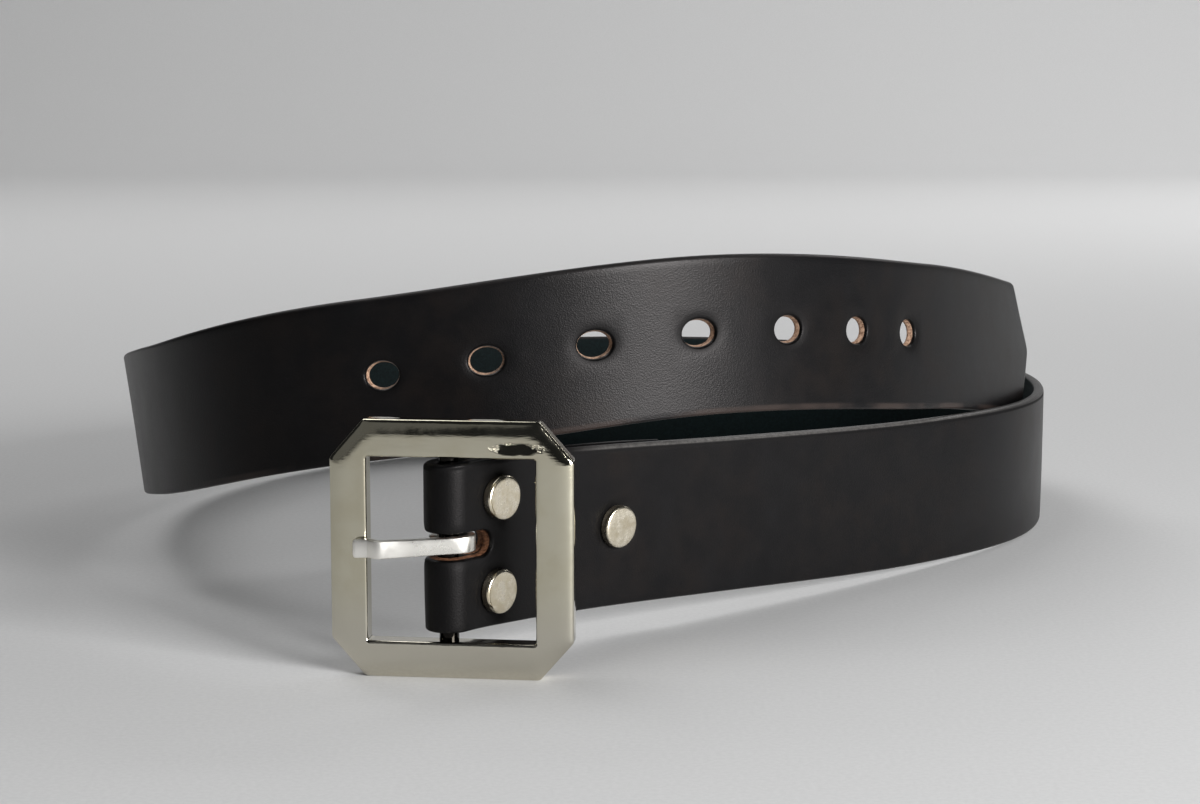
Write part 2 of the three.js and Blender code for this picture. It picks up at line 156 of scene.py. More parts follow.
# What is punched through the leather: middle along it, middle up it, length, height.
FIRST_HOLE, HOLE_PITCH, HOLE_COUNT = 855, 25.4, 7
HOLES = [(FIRST_HOLE + HOLE_PITCH * number, WIDTH / 2 + 0.7, 8.8, 7.0)
         for number in range(HOLE_COUNT)]
RIVETS = {"rivet_upper": (9.4, 9.9), "rivet_lower": (9.4, -11.1), "rivet_rear": (48.5, 0.0)}
BEHIND = ARC_LENGTH + STRAIGHT_LENGTH + BEND_LENGTH - RETURN_FROM
RIVET_HOLES = [(place, WIDTH / 2 + rise, 4.2, 4.2) for station, rise in RIVETS.values()
               for place in (station, -station - BEHIND)]
SLOT_FRONT, SLOT_BACK = 7.6, -22.4
SLOT = ((SLOT_FRONT + SLOT_BACK) / 2, WIDTH / 2, SLOT_FRONT - SLOT_BACK, 6.0)
OPENINGS = [SLOT] + RIVET_HOLES + HOLES
CAP_RADIUS = 5.0
DENT, DENT_REACH = 0.24, 1.15
CAP_DENT, CAP_DENT_REACH = 0.45, 1.1
CROWN = 0.05
DISH, DISH_FROM, DISH_FULL = 0.30, 640, 780
SAG = 0.22
WAVE = 0.03
FOLD_DRAW, FOLD_DRAW_REACH = 0.8, 9
SQUEEZE_REACH = 1.3


def from_opening(path, height, opening):
    """A point's place as seen from an opening: from the middle line of the slot, or from the middle
    of an oval hole, with the belt shrunk along its length until the oval is a circle. Both are
    lengths along and up, and the factor that undoes the shrinking comes third."""
    middle, centre, length, tall = opening
    if opening == SLOT:
        half = (length - tall) / 2
        return path - np.clip(path, middle - half, middle + half), height - centre, 1.0
    return (path - middle) * tall / length, height - centre, length / tall


def beyond_opening(path, height, opening):
    """How far a point lies outside an opening: its distance from there, less the half height."""
    return np.hypot(*from_opening(path, height, opening)[:2]) - opening[3] / 2


def grain_dent(path, height):
    """How deep the grain face is pressed in: it sinks softly towards each punched edge, lies
    pressed under each rivet cap, and undulates. The bend dishes it across the strap where it runs
    free, and its lower half falls back where it stands on the floor."""
    off_middle = height / WIDTH * 2 - 1
    free = np.clip((path - DISH_FROM) / (DISH_FULL - DISH_FROM), 0, 1)
    dent = CROWN * off_middle ** 6 + DISH * free * (1 - off_middle ** 2)
    dent = dent + SAG * (1 - free) * np.maximum(-off_middle, 0) ** 2
    dent = dent + WAVE * (np.sin(path / 13.0 + height / 9.0) + np.sin(path / 29.0 - height / 14.0))
    for opening in HOLES + [SLOT]:
        dent = dent + DENT * np.exp(-(np.maximum(beyond_opening(path, height, opening), 0)
                                      / DENT_REACH) ** 2)
    for station, rise in RIVETS.values():
        cap = np.hypot(path - station, height - WIDTH / 2 - rise) - CAP_RADIUS
        dent = dent + CAP_DENT * np.exp(-(np.maximum(cap, 0) / CAP_DENT_REACH) ** 2)
    return dent


def pressed(path, height):
    """Where the grain gets painted shade and more roughness, from 0 to 1: most at the punched edges
    and round the rivet caps, where it is pressed in, fading over two or three millimetres."""
    edge = np.min([beyond_opening(path, height, opening) for opening in HOLES + [SLOT]]
                  + [np.hypot(path - station, height - WIDTH / 2 - rise) - CAP_RADIUS
                     for station, rise in RIVETS.values()], axis=0)
    return np.exp(-(np.maximum(edge, 0) / SQUEEZE_REACH) ** 2)


def strap_point(path, height, share):
    """A point of the leather from its length along it, its height up it, and its share of the way
    from grain (0) to flesh (1). The last stretch is drawn back to the sides to make the point, and
    the upper edge is drawn in where the fold stretches it."""
    off_middle = np.abs(height / WIDTH * 2 - 1)
    shape = (np.hypot(off_middle, 0.05) - 0.05
             + 0.16 * np.maximum((off_middle - 0.9) / 0.1, 0) ** 2.2)
    drawn = path - POINT_LENGTH * shape * np.clip(
        (path - STRAP_END + SHEAR_LENGTH) / SHEAR_LENGTH, 0, 1)
    station, depth, turn, thickness = strap_middle(drawn)
    fold = np.exp(-((path + FOLD_DRAW_REACH) / FOLD_DRAW_REACH) ** 2)
    height = height - FOLD_DRAW * fold * np.clip(height / WIDTH * 2.5 - 1.5, 0, 1) ** 2
    inward = (share - 0.5) * thickness + grain_dent(path, height) * (1 - share)
    return lay(station + inward * np.sin(turn), height, depth + inward * np.cos(turn))


# Lengths along the leather at which it gets a cross-section: short in the fold and near the holes.
def spread(start, end, step):
    """Even lengths from start up to, and without, end, no further apart than step."""
    return np.linspace(start, end, max(int(math.ceil((end - start) / step)), 1), endpoint=False)


HOLE_STEP = HOLE_PITCH / 20
HOLES_FROM = FIRST_HOLE - HOLE_PITCH / 2
HOLES_TO = HOLES_FROM + HOLE_PITCH * HOLE_COUNT
LINE_STEP = 1.27
END_ROUND = np.radians([0, 22.5, 45, 67.5, 90])
paths = np.concatenate([
    STRAP_START + EDGE_ROUND * SKIVED / THICKNESS * (1 - np.cos(END_ROUND[:-1])),
    spread(STRAP_START + 0.4, -24 - BEHIND, 1.5), spread(-24 - BEHIND, 9, 0.62),
    spread(9, 16, 0.9), spread(16, 60, 1.2), spread(60, HOLES_FROM, 2.0),
    spread(HOLES_FROM, HOLES_TO, HOLE_STEP),
    spread(HOLES_TO, STRAP_END - EDGE_ROUND, 1.2),
    STRAP_END - EDGE_ROUND + EDGE_ROUND * np.sin(END_ROUND),
])
squeeze = np.ones(len(paths))
squeeze[-5:] = 1 - 2 * EDGE_ROUND / THICKNESS * (1 - np.cos(END_ROUND))
squeeze[:4] = squeeze[-1:-5:-1]

lines = np.linspace(LOWER_ROUND, WIDTH - EDGE_ROUND,
                    int(round((WIDTH - 2 * EDGE_ROUND) / LINE_STEP)))
rim_turn = np.radians([20, 42, 66, 90])


def rim(radius):
    """Half the way round an edge of the strap and back: how far out from its flat face, and the
    share of the way from grain to flesh."""
    out, share = radius * np.sin(rim_turn), radius * (1 - np.cos(rim_turn)) / THICKNESS
    return np.concatenate([out, out[::-1]]), np.concatenate([share, 1 - share[::-1]])


upper, upper_share = rim(EDGE_ROUND)
lower, lower_share = rim(LOWER_ROUND)
round_height = np.concatenate([lines, WIDTH - EDGE_ROUND + upper, lines[::-1],
                               LOWER_ROUND - lower])
round_share = np.concatenate([0 * lines, upper_share, 0 * lines + 1, lower_share[::-1]])
LINES, ROUND = len(lines), len(round_height)
FACING = 2 * LINES + len(upper) - 1

grid_path = np.repeat(paths, ROUND)
grid_height = np.tile(round_height, len(paths))
grid_share = 0.5 + (np.tile(round_share, len(paths)) - 0.5) * np.repeat(squeeze, ROUND)
grid_raw = np.zeros(len(grid_path))

# Quads of the tube, and the strips that close its two ends, as rows of four point numbers.
section, step = np.meshgrid(np.arange(len(paths) - 1), np.arange(ROUND), indexing="ij")
after = (step + 1) % ROUND
tube = np.stack([section * ROUND + step, section * ROUND + after,
                 (section + 1) * ROUND + after, (section + 1) * ROUND + step], -1)
keep = np.ones(tube.shape[:2], bool)
near = np.arange(-5, LINES + 3)
far = (FACING - near - 1) % ROUND
end_strip = np.stack([near % ROUND, (near + 1) % ROUND, (far - 1) % ROUND, far], -1)
last = (len(paths) - 1) * ROUND

strap_parts = {"path": [grid_path], "height": [grid_height], "share": [grid_share],
               "raw": [grid_raw]}
strap_faces = [end_strip[:, ::-1], end_strip + last]
point_count = len(grid_path)
RIM = 0.45
# The punch leaves each hole narrower towards the flesh side, and so does the fold with the slot,
# but only a little at the slot's ends, where the prong swings.
HOLE_TAPER = 0.5
SLOT_TAPER = 0.4
SLOT_END_TAPER = 0.2
WALL_ROWS = [
    # out from the opening's edge, share of the thickness, rawness
    (2.0, 0.0, 0.0), (1.35, 0.0, 0.0), (0.8, 0.0, 0.0), (RIM, 0.0, 0.0), (0.2, 0.035, 0.0),
    (0.06, 0.09, 0.0), (0.0, 0.17, 0.0), (0.0, 0.32, 0.2), (0.0, 0.40, 1.0), (0.0, 0.55, 1.0),
    (0.0, 0.70, 1.0), (0.0, 0.86, 1.0), (0.12, 0.97, 0.8), (0.4, 1.0, 0.2), (1.2, 1.0, 0.0),
]
for opening in OPENINGS:
    middle, centre, length, tall = opening
    margin = 2.5 if opening in HOLES + [SLOT] else 1.6
    first = np.searchsorted(paths, middle - length / 2 - margin) - 1
    final = np.searchsorted(paths, middle + length / 2 + margin)
    low = np.searchsorted(lines, centre - tall / 2 - margin) - 1
    high = np.searchsorted(lines, centre + tall / 2 + margin)
    flesh_low, flesh_high = FACING - high, FACING - low
    keep[first:final, low:high] = False
    keep[first:final, flesh_low:flesh_high] = False
    rows = np.concatenate([np.arange(first, final), np.full(high - low, final),
                           np.arange(final, first, -1), np.full(high - low, first)])
    ups = np.concatenate([np.full(final - first, low), np.arange(low, high),
                          np.full(final - first, high), np.arange(high, low, -1)])
    along, upward, longer = from_opening(paths[rows], lines[ups], opening)
    away = np.stack([along, upward], -1) / np.hypot(along, upward)[:, None]
    nearest = np.stack([paths[rows] - along * longer, lines[ups] - upward], -1)
    fit = np.minimum(1, (margin - 0.3) / WALL_ROWS[0][0])
    taper = HOLE_TAPER if opening in HOLES else 0.0
    if opening == SLOT:
        taper = SLOT_END_TAPER + (SLOT_TAPER - SLOT_END_TAPER) * away[:, 1:] ** 2
    rings = [rows * ROUND + ups]
    for out, share, raw in WALL_ROWS:
        narrow = taper * np.clip((share - 0.12) / 0.75, 0, 1)
        out = out * fit if out > RIM else out
        ring = nearest + away * (tall / 2 - narrow + out)
        ring[:, 0] += away[:, 0] * (longer - 1) * tall / 2
        rings.append(point_count + np.arange(len(rows)))
        strap_parts["path"].append(ring[:, 0])
        strap_parts["height"].append(ring[:, 1])
        strap_parts["share"].append(np.full(len(rows), share))
        strap_parts["raw"].append(np.full(len(rows), raw))
        point_count += len(rows)
    rings.append(rows * ROUND + FACING - ups)
    for inner, outer in zip(rings[1:], rings[:-1]):
        strap_faces.append(np.stack([outer, inner, np.roll(inner, -1), np.roll(outer, -1)], -1))
strap_faces.append(tube[keep])
strap_values = {name: np.concatenate(parts) for name, parts in strap_parts.items()}
# The grain pressed in round the openings and caps is given painted shade in the material through
# this value.
strap_values["pressed"] = pressed(strap_values["path"], strap_values["height"])
strap_points = strap_point(strap_values["path"], strap_values["height"], strap_values["share"])


def make_piece(name, points, faces, body, replaced, material, values=None):
    """A smooth closed mesh from points in mm and rows of four point numbers, turned so that the
    volume that its faces enclose is positive. Points in one place become one point, and a row that
    then repeats a point becomes a triangle."""
    _, first_use, joined = np.unique(np.round(points, 5), axis=0, return_index=True,
                                     return_inverse=True)
    points, faces = points[first_use], joined.reshape(-1)[faces]
    corner = points[faces]
    fan = np.cross(corner, np.roll(corner, -1, 1)).sum(1)
    faces = faces[:, ::-1] if (corner.mean(1) * fan).sum() < 0 else faces
    new = faces != np.roll(faces, 1, 1)
    faces, new = faces[new.sum(1) > 2], new[new.sum(1) > 2]
    corners = new.sum(1)
    mesh = bpy.data.meshes.new(name)
    mesh.vertices.add(len(points))
    mesh.loops.add(int(corners.sum()))
    mesh.polygons.add(len(faces))
    mesh.vertices.foreach_set("co", (points / 1000).ravel().astype(np.float32))
    mesh.loops.foreach_set("vertex_index", faces[new].astype(np.int32))
    mesh.polygons.foreach_set("loop_start", (np.cumsum(corners) - corners).astype(np.int32))
    mesh.polygons.foreach_set("use_smooth", np.ones(len(faces), bool))
    mesh.update(calc_edges=True)
    for key, value in (values or {}).items():
        mesh.attributes.new(key, "FLOAT", "POINT").data.foreach_set(
            "value", value[first_use].astype(np.float32))
    mesh.materials.append(material)
    piece = bpy.data.objects.new(name, mesh)
    bpy.context.scene.collection.objects.link(piece)
    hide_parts(replaced)
    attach(piece, body)
    return piece


class Link:
    """An output of a material's node. Arithmetic on it adds Math nodes."""

    def __init__(self, tree, socket):
        self.tree, self.socket = tree, socket

    def node(self, kind, settings, inputs, output=0):
        """Adds a node: its settings first, with stops for a ramp, then a value or a link for each
        of the named or numbered inputs."""
        made = self.tree.nodes.new(kind)
        for key, value in settings.items():
            if key == "stops":
                ramp = made.color_ramp.elements
                for _ in value[2:]:
                    ramp.new(0.5)
                for stop, (place, tone) in zip(ramp, value):
                    stop.position, stop.color = place, (*tone, 1)
            else:
                setattr(made, key, value)
        for key, value in inputs.items():
            if isinstance(value, Link):
                self.tree.links.new(value.socket, made.inputs[key])
            else:
                made.inputs[key].default_value = value
        return Link(self.tree, made.outputs[output])

    def maths(self, operation, first, second=0.0):
        return self.node("ShaderNodeMath", {"operation": operation}, {0: first, 1: second})

    def __add__(self, other):
        return self.maths("ADD", self, other)

    def __sub__(self, other):
        return self.maths("SUBTRACT", self, other)

    def __rsub__(self, other):
        return self.maths("SUBTRACT", other, self)

    def __mul__(self, other):
        return self.maths("MULTIPLY", self, other)

    __radd__, __rmul__ = __add__, __mul__

    def rise(self, low, high):
        """0 below low, 1 above high, and a smooth step between them."""
        return self.node("ShaderNodeMapRange", {"interpolation_type": "SMOOTHSTEP"},
                         {"Value": self, "From Min": low, "From Max": high})

    def noise(self, size, detail=3.0, rough=0.5, stretch=(1, 1, 1)):
        """Noise on these coordinates, with features about size millimetres wide."""
        place = self.node("ShaderNodeMapping", {}, {"Vector": self, "Scale": stretch})
        return self.node("ShaderNodeTexNoise", {}, {
            "Vector": place, "Scale": 1000 / size, "Detail": detail, "Roughness": rough})

    def mix(self, first, second):
        """A colour that goes from first to second as this value goes from 0 to 1."""
        ends = [value if isinstance(value, Link) else (*value, 1) for value in (first, second)]
        return self.node("ShaderNodeMix", {"data_type": "RGBA"},
                         {0: self, 6: ends[0], 7: ends[1]}, 2)

    def bump(self, height, strength, millimetres, under=None):
        """A normal pushed about by a height of 0 to 1 that stands for so many millimetres, over
        another such normal where one is given."""
        below = {"Normal": under} if under else {}
        return self.node("ShaderNodeBump", {}, {
            "Height": height, "Strength": strength, "Distance": millimetres / 1000, **below})


def new_material(name, **fixed):
    """A material with one Principled shader. Returns it, its shader node, and its Object
    coordinates."""
    material = bpy.data.materials.new(name)
    material.use_nodes = True
    tree = material.node_tree
    shader = next(node for node in tree.nodes if node.type == "BSDF_PRINCIPLED")
    for key, value in fixed.items():
        shader.inputs[key.replace("_", " ")].default_value = value
    coordinates = tree.nodes.new("ShaderNodeTexCoord")
    return material, shader, Link(tree, coordinates.outputs["Object"])


def feed(shader, **links):
    """Joins each link to the shader's input of that name."""
    for key, link in links.items():
        link.tree.links.new(link.socket, shader.inputs[key.replace("_", " ")])


leather, shader, place = new_material("black bridle leather", Specular_IOR_Level=0.165,
                                      Specular_Tint=(1.0, 0.95, 0.94, 1))


def strap_value(name):
    """One of the strap's own values, as the mesh carries it."""
    return place.node("ShaderNodeAttribute", {"attribute_name": name}, {}, 2)


share, raw, height, path, pressed_shade = (
    strap_value(name) for name in ("share", "raw", "height", "path", "pressed"))
burnished = share.rise(0.004, 0.04)
flesh = share.rise(0.90, 0.99)
cut = raw.rise(0.2, 0.8)
mottle = place.noise(9.0, 5.0, 0.6)
warm = place.noise(26.0, 3.0, 0.55)
fine = place.noise(0.22, 2.0, 0.5)
pebble = place.node("ShaderNodeTexVoronoi", {"feature": "SMOOTH_F1"}, {
    "Vector": place, "Scale": 1000 / 0.36, "Smoothness": 0.5, "Randomness": 1.0})
fibre = place.noise(0.9, 5.0, 0.7)
grain_tone = mottle.rise(0.3, 0.7).mix(
    (0.0030, 0.0030, 0.0034), warm.rise(0.35, 0.65).mix((0.0044, 0.0044, 0.0049),
                                                        (0.0062, 0.0049, 0.0045)))
# Painted highlight: the front strap's rounded upper edge is mixed towards a light grey. The mix is
# full from about 45 mm out to 150 mm, is a fifth as strong beyond 230 mm, and stops past 660 mm.
# The other rounded edges keep their dark burnished colour.
pale = (path.rise(28.0, 45.0) * path.rise(660.0, 600.0) * height.rise(20.0, 30.0)
        * (path.rise(230.0, 150.0) * 0.8 + 0.2))
rim_tone_and_highlight = pale.mix((0.012, 0.011, 0.011), fibre.rise(0.3, 0.7).mix((0.042, 0.040, 0.039),
                                                                    (0.090, 0.086, 0.082)))
# The fold round the bar, the turned-back layer and the strap out to about 20 mm, fading by 45 mm,
# get painted shade further down, darker cut walls in the slot, and a little more roughness.
shaded_fold = path.rise(45.0, 20.0)
# A thin line of painted shade runs along the grain just below the front strap's upper rim; it is
# made rougher as well.
painted_line_below_rim = height.rise(36.3, 36.8) * share.rise(0.02, 0.004) * path.rise(660.0, 600.0)
# Along the lowest millimetre or two of the upper strap, from about 800 mm on, a patchy lighter
# brown is painted: partly wear, partly a painted highlight of that edge.
low_edge_wear_and_highlight = height.rise(1.9, 1.1) * path.rise(780.0, 830.0) * warm.rise(0.40, 0.55)
flesh_tone = fibre.rise(0.3, 0.75).mix((0.0012, 0.0050, 0.0056), (0.0045, 0.0125, 0.0135))
# Cut walls are painted a darker brown in the fold, as shade.
raw_tone = fibre.rise(0.3, 0.7).mix(shaded_fold.mix((0.120, 0.062, 0.038), (0.040, 0.018, 0.010)),
                                    shaded_fold.mix((0.520, 0.345, 0.240), (0.230, 0.105, 0.055)))
tone = low_edge_wear_and_highlight.mix(burnished.mix(grain_tone, rim_tone_and_highlight), (0.027, 0.020, 0.0175))
# Painted shade: the fold, a thin line under the front strap's upper rim, and the grain pressed in
# round the openings and rivet caps are mixed towards near-black.
dark = shaded_fold + pressed_shade + painted_line_below_rim
tone = dark.mix(tone, (0.0016, 0.0016, 0.0018))
tone = flesh.mix(tone, flesh_tone)
feed(shader, Base_Color=cut.mix(tone, raw_tone),
     Roughness=(0.31 + mottle * 0.10 + pressed_shade * 0.2 + shaded_fold * 0.12 + painted_line_below_rim * 0.3)
     * (1 - burnished) + burnished * 0.36
     + flesh * 0.36 + cut * 0.3,
     Normal=place.bump(pebble * 0.8 + fine * 0.6 + cut * fibre * 2.0 + flesh * fibre * 1.5,
                       0.7, 0.05))
make_piece("belt_strap", strap_points, np.concatenate(strap_faces), "strap",
           "strap", leather, strap_values)

# ---- Buckle frame ------------------------------------------------------------------------------
# One casting, polished and nickel plated: an upright rectangle with cut corners, its face flat
# round the window and rolled off broadly towards the outside. A round bar runs down behind the
# middle of the window, with its two ends standing out of the backs of the rails.
FRAME_TURN = math.radians(-7)
FRAME_SIZE = np.array([53.8, 57.3])
FRAME_THICKNESS = 5.2
CUT = np.array([7.5, 8.6])
CORNER_ROUND = 1.5
CORNER_SOFTEN = 1.4
WINDOW = np.array([37.3, 40.9])
WINDOW_ROUND = 0.5
WINDOW_EDGE = 0.65
FRAME_CENTRE = 1.25
FRAME_AHEAD = 2.0
ROLL = 4.0
ROLL_DROP = 1.25
BACK_ROLL = 0.8
CORNER_STEPS, SIDE_STEPS = 7, 14


def buckle_point(across, out, up):
    """From the buckle's own axes (across its width from the bar, out of its face, up from the
    floor) to the belt's."""
    return np.stack([BAR[0] + across * math.cos(FRAME_TURN) + out * math.sin(FRAME_TURN),
                     BAR[1] + across * math.sin(FRAME_TURN) - out * math.cos(FRAME_TURN), up], -1)


def ring(spots, turns, inset, radius, steps):
    """Once round a polygon that is set in by inset, for many insets at a time. At each corner an
    arc swings from one side's normal n to the next side's m: spot - (inset + radius) (n + m) /
    (1 + n.m) + radius (cos, sin). Even points follow along the next side."""
    angle = turns[:-1, None] + np.diff(turns)[:, None] * np.linspace(0, 1, steps)
    toward = np.stack([np.cos(angle), np.sin(angle)], -1)
    n, m = toward[:, 0], toward[:, -1]
    mitre = (n + m) / (1 + (n * m).sum(-1, keepdims=True))
    inset, radius = inset[:, None, None, None], radius[:, None, None, None]
    arcs = spots[:, None] - (inset + radius) * mitre[:, None] + radius * toward
    along = np.linspace(0, 1, SIDE_STEPS + 2)[1:-1, None]
    sides = arcs[:, :, -1:] * (1 - along) + np.roll(arcs, -1, 1)[:, :, :1] * along
    return np.concatenate([arcs, sides], 2).reshape(len(arcs), -1, 2)


cut_turn = math.atan2(CUT[0], CUT[1])
frame_turns = np.array([0, cut_turn, math.pi / 2, math.pi - cut_turn, math.pi,
                        math.pi + cut_turn, math.pi * 1.5, math.pi * 2 - cut_turn, math.pi * 2])
near_side, near_top = FRAME_SIZE / 2 - [0, CUT[1]], FRAME_SIZE / 2 - [CUT[0], 0]
frame_spots = np.array([near_side, near_top, near_top * [-1, 1], near_side * [-1, 1],
                        -near_side, -near_top, near_top * [1, -1], near_side * [1, -1]])
window_spots = WINDOW / 2 * np.array([(1, 1), (-1, 1), (-1, -1), (1, -1)])
window_turns = np.radians([0, 90, 180, 270, 360])

half_thick = FRAME_THICKNESS / 2
rolled = np.radians(np.concatenate([[0, 3], np.arange(7, 90, 6), [90]]))
edge_turn = np.radians([0, 22, 45, 67, 90])
# How the surface goes round a bar of the frame: set in from the outside, share of the way from
# there to the window, set back from the window's edge, and out of the plate's middle.
frame_rows = np.concatenate([np.stack(np.broadcast_arrays(*row), -1).reshape(-1, 4) for row in (
    (BACK_ROLL * (1 - np.sin(edge_turn)), 0, 0, -half_thick + BACK_ROLL * (1 - np.cos(edge_turn))),
    (0, 0, 0, np.array([0.0, half_thick - ROLL_DROP - 0.3])),
    (ROLL * (1 - np.cos(rolled)), 0, 0, half_thick - ROLL_DROP * (1 - np.sin(rolled))),
    (ROLL, np.array([0.3, 0.6, 0.85]), WINDOW_EDGE, half_thick),
    (ROLL, 1, WINDOW_EDGE * (1 - np.sin(edge_turn)),
     half_thick - WINDOW_EDGE * (1 - np.cos(edge_turn))),
    (ROLL, 1, 0, np.array([half_thick - WINDOW_EDGE - 0.15, 0.0,
                           -half_thick + WINDOW_EDGE + 0.15])),
    (ROLL, 1, WINDOW_EDGE * (1 - np.cos(edge_turn)),
     -half_thick + WINDOW_EDGE * (1 - np.sin(edge_turn))),
    (BACK_ROLL, np.array([0.85, 0.5, 0.15]), WINDOW_EDGE, -half_thick),
)])


def frame_sheet():
    """The plate's surface, a closed tube round the window: each row's ring on the outside, blended
    by its share into its ring on the window's side."""
    inset, share, back, out = frame_rows.T
    outer = ring(frame_spots, frame_turns, inset, CORNER_ROUND + CORNER_SOFTEN * inset,
                 CORNER_STEPS)
    inner = ring(window_spots, window_turns, -back, WINDOW_ROUND + back,
                 2 * CORNER_STEPS + SIDE_STEPS)
    flat = outer + (inner - outer) * share[:, None, None]
    return buckle_point(flat[..., 0] + FRAME_CENTRE, FRAME_AHEAD + out[:, None] + 0 * flat[..., 0],
                        flat[..., 1] + FRAME_SIZE[1] / 2)


def grid_faces(rows_count, columns, start=0, wrap_rows=False, wrap_columns=True):
    """Rows of four point numbers for a sheet of points, closed round on itself where asked."""
    row, column = np.meshgrid(np.arange(rows_count - (not wrap_rows)),
                              np.arange(columns - (not wrap_columns)), indexing="ij")
    below, beside = (row + 1) % rows_count, (column + 1) % columns
    return start + np.stack([row * columns + column, row * columns + beside,
                             below * columns + beside, below * columns + column], -1).reshape(-1, 4)


BAR_ROWS = np.array([
    # height, radius
    (3.6, 0.0), (3.65, 0.9), (4.0, 1.6), (4.7, 2.05), (5.6, 2.2), (8.0, 2.2), (9.0, 2.2),
    (20.0, 2.2), (37.0, 2.2), (48.0, 2.2), (49.3, 2.2), (51.7, 2.2), (52.6, 2.05), (53.3, 1.6),
    (53.65, 0.9), (53.7, 0.0),
])


def turned(profile, sides):
    """A turned shape: each row's radius swung round the axis, as across, out and height."""
    angle = np.linspace(0, 2 * math.pi, sides, endpoint=False)
    return (profile[:, 1, None] * np.cos(angle), profile[:, 1, None] * np.sin(angle),
            profile[:, 0, None] + 0 * angle)


def plating(name, dark, light, rough, wave):
    """Nickel plate: cloudy where it was handled, finely scratched, and slightly wavy under its
    polish, with ripples along the rails that fray the edges of what it mirrors. Returns the
    material, its shader, its coordinates, its bump and its colour."""
    material, shader, place = new_material(name, Metallic=1.0)
    worn = place.noise(8.0, 4.0, 0.55)
    speck = place.noise(0.8, 5.0, 0.65)
    ripple = place.noise(1.1, 4.0, 0.6, (0.30, 0.30, 1.6))
    hairline = place.noise(0.25, 3.0, 0.6, (1.0, 1.0, 0.10))
    relief = place.bump(hairline, 0.06, 0.01, place.bump(speck, 0.05, 0.03, place.bump(
        ripple, 0.45, 0.05, place.bump(place.noise(11.0, 3.0, 0.5), 0.5, wave))))
    feed(shader, Roughness=rough + worn.rise(0.4, 0.75) * rough * 0.7
         + speck.rise(0.55, 0.8) * 0.05)
    return material, shader, place, relief, worn.rise(0.3, 0.7).mix(dark, light)


# A shallow hollow in the polish, near the right end of the top rail, mirrors a dark patch; what
# makes that patch on the real plate isn't known. The bar is painted near-black, as painted shade
# for the dark seen round it under the fold.
HOLLOW_PLACE = (-16.6, 51.3)
HOLLOW_SIZE = (6.0, 1.5)
nickel, shader, place, relief, plate_tone = plating(
    "polished nickel plate", (0.535, 0.50, 0.385), (0.585, 0.555, 0.445), 0.07, 0.22)
x, z = (place.node("ShaderNodeSeparateXYZ", {}, {"Vector": place}, axis) for axis in (0, 2))
fray = place.noise(1.3, 4.0, 0.65, (0.45, 1.0, 1.3))
beside, above = ((way * 1000 - middle) * (1 / size) for way, middle, size in
                 zip((x, z), HOLLOW_PLACE, HOLLOW_SIZE))
hollow = (beside * beside + above * above + fray * 2.2).rise(2.05, 1.7) * (above * 0.5 + 0.5)
# The bar's points are flagged on the mesh, and the bar gets a near-black painted shade in place of
# nickel.
dyed = place.node("ShaderNodeAttribute", {"attribute_name": "dyed"}, {}, 2)
# Painted brightening: towards the bottom rail the plate's colour is made lighter and even, fully
# below 8 mm and blending in up to 24 mm.
plate_tone = (z * 1000).rise(24.0, 8.0).mix(plate_tone, (0.585, 0.555, 0.475))
feed(shader, Normal=place.bump(1 - hollow, 1.0, 0.40, relief),
     Base_Color=dyed.mix(plate_tone, (0.012, 0.011, 0.010)))

sheet = frame_sheet()
bar_sheet = buckle_point(*turned(BAR_ROWS, 32))
frame_points = np.concatenate([sheet.reshape(-1, 3), bar_sheet.reshape(-1, 3)])
plate_faces = grid_faces(len(sheet), sheet.shape[1], 0, True)
frame_faces = np.concatenate([plate_faces, grid_faces(len(BAR_ROWS), 32, sheet[..., 0].size)])
# A flag on each point: 1 on the bar, which is painted near-black as shade.
bar_shade_flags = np.repeat([0.0, 1.0], [sheet[..., 0].size, bar_sheet[..., 0].size])
make_piece("buckle_casting", frame_points, frame_faces, "buckle", "buckle_frame", nickel,
           {"dyed": bar_shade_flags})

# ---- Prong -------------------------------------------------------------------------------------
# A strip of nickel-plated steel, curled into an eye round the bar. It passes through the slot in
# the fold, leans forward over the window, and is bent down near its end to lie on the left post.
PRONG_THICK = 1.8
PRONG_TALL = 3.65
PRONG_TALL_TIP = 4.05
PRONG_EDGE = 0.33
EYE = 3.45
EYE_STRETCH = 1.6
PRONG_LEAN = 15.5
PRONG_DROOP = math.tan(math.radians(1.8))
PRONG_MIDDLE = 29.65
curl = np.radians(np.linspace(210, 90, 22))
front = np.radians(np.linspace(90, PRONG_LEAN - 90, 30))
way = np.concatenate([
    np.stack([EYE * np.cos(curl), EYE * np.sin(curl)], -1),
    np.stack([EYE_STRETCH + EYE * np.cos(front), EYE * np.sin(front)], -1),
    [(-14.17, -7.95), (-16.46, -5.8), (-20.2, -5.8)],
])
stretch = np.concatenate([[0], np.cumsum(np.linalg.norm(np.diff(way, axis=0), axis=1))])
length = np.linspace(0, stretch[-1], 180)
way = np.stack([np.interp(length, stretch, way[:, axis]) for axis in range(2)], -1)
blunt = np.array([1, 2, 3, 2, 1]) / 9
way[2:-2] = np.stack([np.convolve(way[:, axis], blunt, "valid") for axis in range(2)], -1)
ahead = np.gradient(way, axis=0)
ahead /= np.linalg.norm(ahead, axis=1, keepdims=True)
PRONG_ROUND = 24


def prong_section(half_thick, half_tall, edge):
    """A rectangle with rounded edges for each place along the prong: half a thickness to either
    side and half a height up and down, less an edge radius that its four arcs give back."""
    angle = np.linspace(0, 2 * math.pi, PRONG_ROUND, endpoint=False) + math.pi / PRONG_ROUND
    reach_side, reach_up = np.cos(angle), np.sin(angle)
    side = np.sign(reach_side) * (half_thick - edge) + edge * reach_side
    up = np.sign(reach_up) * (half_tall - edge) + edge * reach_up
    return side, up


